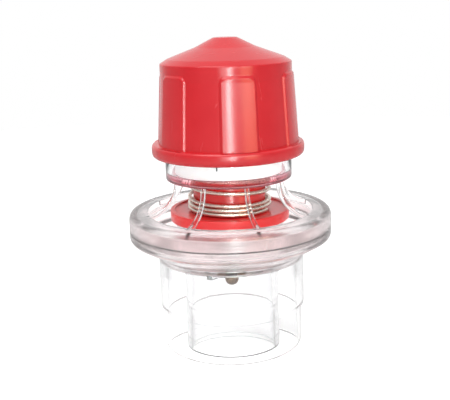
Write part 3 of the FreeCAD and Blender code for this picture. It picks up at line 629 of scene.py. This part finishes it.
def adjustingCap(s):
    # outline from the pivot's hole through the stepped bore, round the rim, up the wall and over the crown;
    # the wall's radius falls in a straight line from the foot to the shoulder
    z0, rimR, top = level("adjusting_cap"), reach("adjusting_cap"), level("adjusting_cap", True)
    crown = top - z0
    slope = (crown - s["lip"]) / (s["shoulderR"] - s["crownFlat"])
    ceilingIn = s["ceiling"] + (s["threadR"] - s["bossR"]) * slope
    wallTop = s["lip"] - s["lipWall"]
    lowCount, highCount = s["wallRows"]
    lowRows = np.linspace(s["rimHeight"], s["wallMid"], lowCount)[1:]
    highRows = np.linspace(s["wallMid"], wallTop, highCount)[1:]
    heights = np.concatenate([lowRows, highRows])
    drop = (heights - s["rimHeight"]) / (s["lip"] - s["draftEnd"] - s["rimHeight"])
    radii = s["footR"] - (s["footR"] - s["shoulderR"]) * np.minimum(drop, 1)
    wall = np.stack([radii, heights], -1)
    outer = roundedPath([
        (0, s["hole"], 0), (s["holeR"], s["hole"], 0.2), (s["holeR"], s["pad"], 0.2),
        (s["bossR"], s["pad"], 0.3), (s["bossR"], ceilingIn, 0.8), (s["threadR"], s["ceiling"], 0.5),
        (s["threadR"], s["boreDepth"], 0.3), (s["boreR"], s["boreDepth"], 0.3), (s["boreR"], 0, 0.3),
        (rimR, 0, 1.1), (rimR, s["rimHeight"], 0.9), (s["footR"], s["rimHeight"], 0.35),
    ], closed=False)
    (lowR, lowZ), (highR, highZ) = s["dipLow"], s["dipHigh"]
    crownPath = roundedPath([  # the crown dips a little between its flat and the shoulder
        (s["shoulderR"], wallTop, 0), (s["shoulderR"], s["lip"], 0.35), (lowR, s["lip"] + lowZ, 1.2),
        (highR, crown - highZ, 3.0), (s["crownFlat"], crown, 1.2), (0, crown, 0),
    ], closed=False, steps=8)
    path = np.vstack([outer, wall, crownPath[1:]])
    path[:, 1] += z0
    near = 0.01  # slack in the test of what is wall

    def push(r, z, a):
        # a grip is a rounded rectangle on the wall, open at its foot: the signed distance to its outline
        # gives its edge, and its face is flatter than the wall
        pitch, half = 360 / s["grips"], s["gripAngle"] / 2
        off = np.abs((np.degrees(a) - s["gripTurn"] + pitch / 2) % pitch - pitch / 2)
        across = np.radians(off - half) * s["footR"] + s["gripCorner"]
        above = z - z0 - s["gripTop"] + s["gripCorner"]
        outside = np.hypot(np.maximum(across, 0), np.maximum(above, 0))
        distance = outside + np.minimum(np.maximum(across, above), 0) - s["gripCorner"]
        on = ramp(-distance, 0, s["gripEdge"])
        face = s["gripProud"] + s["gripFlat"] * ((off / half) ** 2 - s["gripLevel"])
        onWall = (z > z0 + s["rimHeight"] - near) * (r > s["shoulderR"] - near)
        return r + face * on * onWall

    shell = spun("capShell", path, capAngles(s), closed=False, sharp=40, push=push)
    return dress(shell, redCap, "cap", "cap_red", "adjusting_cap")


# Compression spring

springSizes = {"meanR": 9.5, "wire": 0.9, "closedPitch": 1.02, "footTurns": 2.2, "topTurns": 1.1,
               "liveTurns": 6.5, "footEnd": -98.0, "length": 24.0, "gap": 0.05, "liveSplit": 4.4,
               "steps": 72, "easing": 19, "sides": 16}


def coilCentres(s, base):
    # left-hand helix: the angle falls by a turn as z rises by the pitch, closed at the ends, open between
    closed, wire, gap = s["closedPitch"], s["wire"], s["gap"]
    rise = s["length"] - 2 * gap - wire
    live = (rise - closed * (s["footTurns"] + s["topTurns"])) / s["liveTurns"]
    turns = np.arange(0, s["footTurns"] + s["liveTurns"] + s["topTurns"], 1 / s["steps"])
    z = closed * np.minimum(turns, s["footTurns"])
    z += live * np.clip(turns - s["footTurns"], 0, s["liveTurns"])
    z += closed * np.maximum(turns - s["footTurns"] - s["liveTurns"], 0)
    kernel = np.ones(s["easing"]) / s["easing"]  # a running mean eases the change of pitch
    z = np.convolve(np.pad(z, s["easing"] // 2, mode="reflect", reflect_type="odd"), kernel, "valid")
    a = np.radians(s["footEnd"]) - 2 * math.pi * (turns - s["footTurns"])
    return np.stack([s["meanR"] * np.cos(a), s["meanR"] * np.sin(a), z + base + gap + wire / 2], -1)


def spring(s, base):
    # one coil cut at two heights: its foot rides on the valve, the rest stretches from there to the follower
    centres = coilCentres(s, base)
    footTop = base + s["footTurns"] * s["closedPitch"] + s["wire"]
    splitZ = footTop + s["liveSplit"]
    z = centres[:, 2] + s["wire"] / 2
    k1, k2 = np.searchsorted(z, footTop), np.searchsorted(z, splitZ)
    parts = [("springFoot", centres[:k1 + 1]), ("springLower", centres[k1:k2 + 1]),
             ("springUpper", centres[k2:])]
    objs = [tube(name, c, s["sides"], s["wire"] / 2) for name, c in parts]
    for obj in objs:
        obj.data.materials.append(springSteel)
        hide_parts("compression_spring")
    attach(objs[0], "valve")
    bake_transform(objs[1])
    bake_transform(objs[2])


# Red valve plate

plateSizes = {"bore": 1.65, "thick": 2.0, "rim": 0.4, "rimWall": 1.1, "guideR": 8.6, "guideIn": 7.2,
              "guideHeight": 12.0, "bossR": 3.6, "bossHeight": 3.4}


def valvePlate(s):  # outline of the disc, its raised rim, the guide tube and the boss, turned about the axis
    z, r = level("valve_plate"), reach("valve_plate")
    top = z + s["thick"]
    rimIn, rimTop = r - s["rimWall"], top + s["rim"]
    guideTop, bossTop = top + s["guideHeight"], top + s["bossHeight"]
    shell = spun("plateShell", roundedPath([
        (s["bore"], z, 0.1), (r, z, 0.3), (r, rimTop, 0.3), (rimIn, rimTop, 0.15), (rimIn, top, 0.2),
        (s["guideR"], top, 0.25), (s["guideR"], guideTop, 0.4), (s["guideIn"], guideTop, 0.4),
        (s["guideIn"], top, 0.3), (s["bossR"], top, 0.3), (s["bossR"], bossTop, 0.2),
        (s["bore"], bossTop, 0.1),
    ]), 192)
    return dress(shell, redPlate, "valve", "plate_red", "valve_plate")


lowerHousing(lowerSizes)
seatTube(tubeSizes)
print("lower housing done")
upperHousing(upperSizes)
threads(threadSizes)
dress(indexTick(tickSizes, upperSizes["collarR"]), greyInk, "housing", "clear_shell")
print("upper housing done")
adjustingCap(capSizes)
spring(springSizes, level("valve_plate") + plateSizes["thick"])
valvePlate(plateSizes)
for node, mat in (("guide_stem", stemSteel), ("stem_retainer", springSteel), ("guide_bush", whiteAcetal),
                  ("spring_follower", whiteAcetal), ("valve_seal", milkySilicone)):
    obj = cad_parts[node]
    obj.data.materials.clear()
    obj.data.materials.append(mat)
print("pieces done")

# Camera, floor and light

cameraSizes = {"place": (0, -186.0, 80.3), "pitch": 13.65, "roll": 1.7, "focalPixels": 800.0, "shift": -4.6,
               "photoWidth": 450, "sensor": 36.0, "clip": (0.001, 20)}


def makeCamera(s):  # the lens is the focal length in pixels over the photo's width, times the sensor's width
    data = bpy.data.cameras.new("camera")
    data.sensor_width = s["sensor"]
    data.lens = s["focalPixels"] / s["photoWidth"] * s["sensor"]
    data.shift_x = s["shift"] / s["photoWidth"]
    data.clip_start, data.clip_end = s["clip"]
    cam = bpy.data.objects.new("camera", data)
    cam.location = [v * mm for v in s["place"]]
    pitch, roll = math.radians(90 - s["pitch"]), math.radians(-s["roll"])
    cam.rotation_euler = (Matrix.Rotation(pitch, 3, "X") @ Matrix.Rotation(roll, 3, "Z")).to_euler()
    bpy.context.scene.collection.objects.link(cam)
    bpy.context.scene.camera = cam


makeCamera(cameraSizes)

floorLook = {"radius": 400.0, "sides": 96, "below": 0.02, "colour": 0.90, "fibre": 1.01, "grain": 500.0,
             "lift": 0.47}


def makeFloor(s):  # a round sheet of white paper, a little brighter where it is seen than the lamps make it
    a = np.linspace(0, 2 * math.pi, s["sides"], endpoint=False)
    ring = np.stack([s["radius"] * np.cos(a), s["radius"] * np.sin(a), 0 * a - s["below"]], -1)
    rings = np.stack([ring * [0, 0, 1], ring])
    floor = makeMesh("floor", rings, gridFaces(2, s["sides"], False, True))
    mat, tree, shader = material(
        "floorPaper", Roughness=0.9, Specular_IOR_Level=0.0, Emission_Color=(1, 1, 1, 1))
    fibre = add(tree, "ShaderNodeTexNoise", {"Vector": objectPoint(tree), "Scale": s["grain"]})
    dull, light = (s["colour"],) * 3, (s["colour"] * s["fibre"],) * 3
    tree.links.new(blendColour(tree, fibre.outputs["Fac"], dull, light), shader.inputs["Base Color"])
    path = add(tree, "ShaderNodeLightPath").outputs
    seen = add(tree, "ShaderNodeMath", {0: path["Is Camera Ray"], 1: path["Is Transmission Ray"]},
               operation="MAXIMUM")
    lift = add(tree, "ShaderNodeMath", {0: seen.outputs[0], 1: s["lift"]}, operation="MULTIPLY")
    tree.links.new(lift.outputs[0], shader.inputs["Emission Strength"])
    floor.data.materials.append(mat)


makeFloor(floorLook)

worldLook = {"fill": 0.53, "side": 0.50, "behind": 0.62, "seen": 1.0, "sideFrom": (0.55, 0.95),
             "behindFrom": (-0.55, 0.1)}


def makeWorld(s):
    # white to the camera; mirrored and bent rays see a greyer room at the sides and behind the camera
    world = bpy.data.worlds.new("studio")
    bpy.context.scene.world = world
    world.use_nodes = True
    tree = world.node_tree
    back = tree.nodes["Background"]
    path = add(tree, "ShaderNodeLightPath").outputs
    direction = add(tree, "ShaderNodeSeparateXYZ", {0: add(tree, "ShaderNodeTexCoord").outputs["Generated"]})
    width = add(tree, "ShaderNodeMath", {0: direction.outputs[0]}, operation="ABSOLUTE")
    (sideMin, sideMax), (backMin, backMax) = s["sideFrom"], s["behindFrom"]
    sides = add(tree, "ShaderNodeMapRange", {
        "Value": width.outputs[0], "From Min": sideMin, "From Max": sideMax,
        "To Min": s["seen"], "To Max": s["side"]}, interpolation_type="SMOOTHSTEP")
    room = add(tree, "ShaderNodeMapRange", {
        "Value": direction.outputs[1], "From Min": backMin, "From Max": backMax,
        "To Min": s["behind"], "To Max": 1.0}, interpolation_type="SMOOTHSTEP")
    grey = add(tree, "ShaderNodeMath", {0: sides.outputs[0], 1: room.outputs[0]}, operation="MULTIPLY")
    bent = add(tree, "ShaderNodeMath", {0: path["Is Glossy Ray"], 1: path["Is Transmission Ray"]},
               operation="MAXIMUM")
    first = add(tree, "ShaderNodeMix", {0: bent.outputs[0], 2: s["fill"], 3: grey.outputs[0]})
    second = add(tree, "ShaderNodeMix", {0: path["Is Camera Ray"], 2: first.outputs[0], 3: s["seen"]})
    tree.links.new(second.outputs[0], back.inputs["Strength"])
    back.inputs["Color"].default_value = (1, 1, 1, 1)


makeWorld(worldLook)

lampAim = (0, 0, 50.0)
lampLooks = {
    # azimuth from the camera's side towards +X, distance, height, width, tall, strength, colour, and whether
    # it lights matt surfaces too
    "keyStrip": (6.0, 260.0, 25.0, 16.0, 300.0, 34.0, (0.78, 1, 0.99), False),
    "keyWide": (0.0, 270.0, 30.0, 95.0, 300.0, 3.6, (0.72, 1, 0.98), False),
    "warmRight": (33.0, 280.0, 40.0, 90.0, 260.0, 3.6, (1, 0.62, 0.30), False),
    "front": (25.0, 420.0, 180.0, 260.0, 260.0, 3.0, (1, 0.99, 0.97), True),
    "top": (-30.0, 160.0, 380.0, 260.0, 260.0, 4.5, (1, 1, 1), True),
}


def makeLamp(name, azimuth, distance, height, width, tall, strength, colour, plain):
    # the lamp's power is its strength, the brightness of its face, times its area and pi
    data = bpy.data.lights.new(name, "AREA")
    data.shape, data.size, data.size_y = "RECTANGLE", width * mm, tall * mm
    data.energy, data.color = strength * math.pi * data.size * data.size_y, colour
    lamp = bpy.data.objects.new(name, data)
    a = math.radians(azimuth - 90)
    lamp.location = [distance * mm * math.cos(a), distance * mm * math.sin(a), height * mm]
    lamp.rotation_euler = (Vector(lampAim) * mm - lamp.location).to_track_quat("-Z", "Y").to_euler()
    lamp.visible_camera = False
    lamp.visible_diffuse = plain
    lamp.visible_transmission = False
    bpy.context.scene.collection.objects.link(lamp)


for name, look in lampLooks.items():
    makeLamp(name, *look)
bpy.context.scene.view_settings.view_transform = "Standard"
print("camera and light done")
